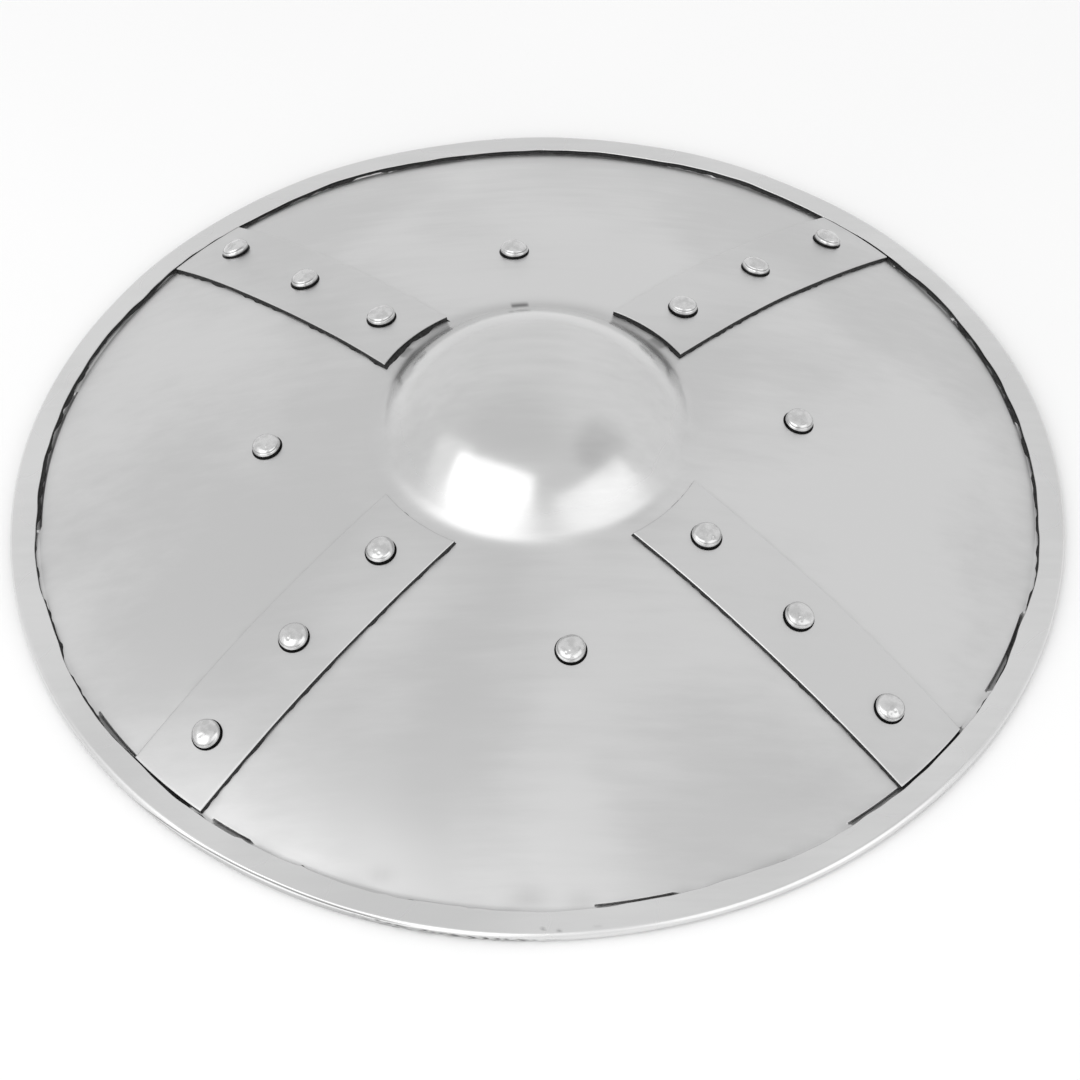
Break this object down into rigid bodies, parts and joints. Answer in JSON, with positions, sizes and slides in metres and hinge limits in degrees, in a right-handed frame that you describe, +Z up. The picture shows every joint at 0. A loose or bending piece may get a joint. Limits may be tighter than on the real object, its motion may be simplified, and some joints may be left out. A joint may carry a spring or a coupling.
{
  "type": "buckler shield",
  "caption": "Round steel buckler with a domed boss, folded rim binding, riveted cross straps and leather grip straps behind.",
  "frame": {"origin": "centre of the flat ring that the rim rests on, with the shield lying face up", "axes": "+Z up out of the face along the boss's axis; +Y towards the upper edge of the face, +X to its right"},
  "size_m": [0.356, 0.356, 0.0664],
  "materials": {
    "steel": "satin, hand polished, with soft cloudy marks",
    "rivet_steel": "polished, with small hammer marks",
    "leather": "plain dark brown, smooth"
  },
  "bodies": {
    "root": {"plate": "steel", "rim_binding": "steel", "cross_strap_upper_right": "steel", "strap_rivet_upper_right_inner": "rivet_steel", "strap_rivet_upper_right_middle": "rivet_steel", "strap_rivet_upper_right_outer": "rivet_steel", "cross_strap_upper_left": "steel", "strap_rivet_upper_left_inner": "rivet_steel", "strap_rivet_upper_left_middle": "rivet_steel", "strap_rivet_upper_left_outer": "rivet_steel", "cross_strap_lower_left": "steel", "strap_rivet_lower_left_inner": "rivet_steel", "strap_rivet_lower_left_middle": "rivet_steel", "strap_rivet_lower_left_outer": "rivet_steel", "cross_strap_lower_right": "steel", "strap_rivet_lower_right_inner": "rivet_steel", "strap_rivet_lower_right_middle": "rivet_steel", "strap_rivet_lower_right_outer": "rivet_steel", "grip_rivet_top": "rivet_steel", "grip_rivet_right": "rivet_steel", "grip_rivet_bottom": "rivet_steel", "grip_rivet_left": "rivet_steel", "grip_strap_upper_right": "leather", "grip_strap_lower_left": "leather"}
  },
  "joints": []
}
